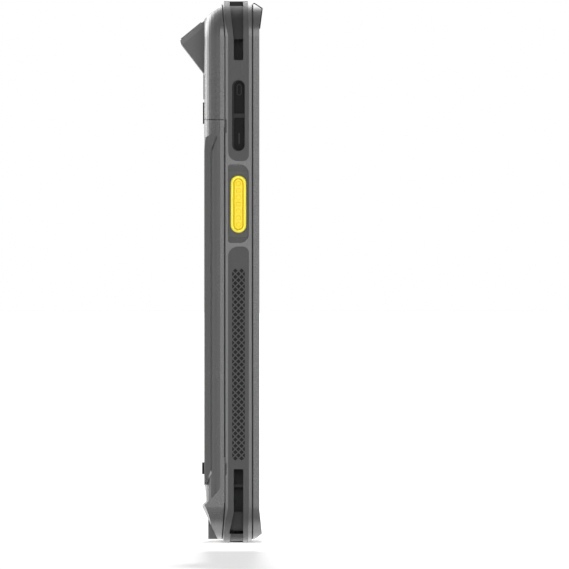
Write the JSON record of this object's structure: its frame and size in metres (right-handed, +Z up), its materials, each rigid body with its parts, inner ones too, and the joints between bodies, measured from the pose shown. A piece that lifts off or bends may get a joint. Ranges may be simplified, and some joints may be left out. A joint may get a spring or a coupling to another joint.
{
  "type": "portable barcode data terminal",
  "caption": "Slim rugged handheld terminal with an angled scanner head high on its back, yellow side triggers, soft corner bumpers with strap slots and a latched battery cover.",
  "frame": {"origin": "centre of the flat foot of the lower bumper, in the middle of the width and of the strap bumper's depth", "axes": "+X to the side with the power key and the rear camera, the screen faces -Y and the scanner head is on the +Y side, +Z up along the length to the top bumper"},
  "size_m": [0.0812, 0.0256, 0.168],
  "materials": {
    "housing": "fine matte texture",
    "hood": "fine matte texture",
    "window_bezel": "matte",
    "frame": "fine matte texture",
    "bumper": "soft matte",
    "seal": "matte",
    "keys": "matte",
    "trigger": "satin",
    "black_trim": "satin",
    "cover_glass": "polished, black backed",
    "display": "smooth",
    "scan_window": "polished, dark tint",
    "lens": "polished",
    "led": "clear",
    "mesh": "fine mesh",
    "steel": "bright",
    "circuit_board": "solder mask",
    "flex": "thin film",
    "contacts": "gold plated",
    "cells": "wrapped"
  },
  "bodies": {
    "body": {"front_housing": "housing", "top_bezel_insert": "black_trim", "display_glass": "cover_glass", "display_panel": "display", "front_camera": "lens", "status_led": "led", "earpiece_mesh": "mesh", "earpiece_receiver": "steel", "front_seal": "seal", "mid_frame": "frame", "rear_seal": "seal", "upper_bumper": "bumper", "lower_bumper": "bumper", "trigger_surround_left": "bumper", "trigger_surround_right": "bumper", "strap_bars": "steel", "side_switches": "steel", "main_board": "circuit_board", "shield_cans": "steel", "board_connector": "black_trim", "loudspeaker": "black_trim", "vibration_motor": "steel", "frame_screws": "steel", "rear_housing": "housing", "scanner_hood": "hood", "window_bezel": "window_bezel", "scan_window": "scan_window", "scan_engine": "black_trim", "scan_lens": "lens", "aimer_led": "led", "antenna_flex": "flex", "camera_plate": "black_trim", "camera_module": "black_trim", "camera_lens": "lens", "flash_lens": "led", "port_block": "hood", "usb_connector": "steel", "dock_contacts": "contacts", "battery_connector": "black_trim"},
    "battery": {"battery_cover": "housing", "battery_cells": "cells", "battery_contacts": "contacts", "battery_seal": "seal", "strap_anchor": "black_trim"},
    "latch": {"battery_latch": "black_trim"},
    "volume_up": {"volume_up_key": "keys"},
    "volume_down": {"volume_down_key": "keys"},
    "power": {"power_key": "keys"},
    "left_scan": {"left_trigger": "trigger"},
    "right_scan": {"right_trigger": "trigger"}
  },
  "joints": [
    {"name": "battery_lift", "type": "slide", "parent": "body", "child": "battery", "axis": [0, 1, 0], "range_m": [0, 0.02]},
    {"name": "latch_slide", "type": "slide", "parent": "battery", "child": "latch", "axis": [0, 0, -1], "range_m": [0, 0.0056]},
    {"name": "volume_up_press", "type": "slide", "parent": "body", "child": "volume_up", "axis": [1, 0, 0], "range_m": [0, 0.0004], "stiffness_N_per_m": 900},
    {"name": "volume_down_press", "type": "slide", "parent": "body", "child": "volume_down", "axis": [1, 0, 0], "range_m": [0, 0.0004], "stiffness_N_per_m": 900},
    {"name": "power_press", "type": "slide", "parent": "body", "child": "power", "axis": [-1, 0, 0], "range_m": [0, 0.0004], "stiffness_N_per_m": 900},
    {"name": "left_trigger_press", "type": "slide", "parent": "body", "child": "left_scan", "axis": [1, 0, 0], "range_m": [0, 0.0006], "stiffness_N_per_m": 900},
    {"name": "right_trigger_press", "type": "slide", "parent": "body", "child": "right_scan", "axis": [-1, 0, 0], "range_m": [0, 0.0006], "stiffness_N_per_m": 900}
  ]
}
